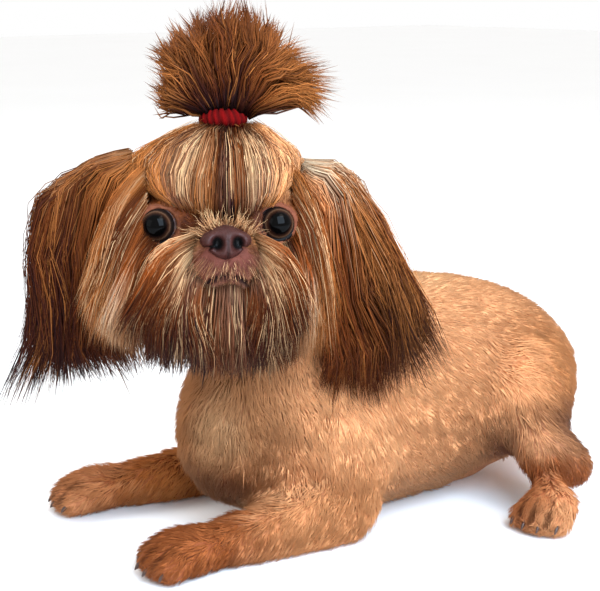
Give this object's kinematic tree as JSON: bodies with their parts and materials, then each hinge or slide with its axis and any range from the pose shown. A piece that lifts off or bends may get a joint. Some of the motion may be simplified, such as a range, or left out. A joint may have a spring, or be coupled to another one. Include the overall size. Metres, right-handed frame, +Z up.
{
  "type": "shih tzu",
  "caption": "Life-size shih tzu lying on its belly, forelegs out in front, head raised and turned to its left, long ear hair and a banded topknot.",
  "frame": {"origin": "middle of the bounding box, at the floor the animal lies on", "axes": "+Z up, the animal's trunk points along -Y from rump to chest, its left side is +X"},
  "size_m": [0.2292, 0.3934, 0.2765],
  "materials": {
    "coat": "short apricot coat",
    "leg_coat": "short orange-brown coat",
    "face_coat": "face hair in cream, chestnut and dark brown",
    "long_hair": "long silky brown hair",
    "nose_leather": "moist liver-brown nose leather",
    "eye": "wet dark brown eye",
    "band": "red elastic fabric band"
  },
  "bodies": {
    "root": {"torso": "coat", "neck": "coat", "foreleg_left": "leg_coat", "foreleg_right": "leg_coat", "forepaw_left": "leg_coat", "forepaw_right": "leg_coat", "hindleg_left": "coat", "hindleg_right": "coat", "hindfoot_left": "leg_coat", "hindfoot_right": "leg_coat", "tail": "long_hair", "head": "face_coat", "ear_left": "long_hair", "ear_right": "long_hair", "eye_left": "eye", "eye_right": "eye", "nose": "nose_leather", "topknot": "long_hair", "topknot_band": "band"}
  },
  "joints": []
}
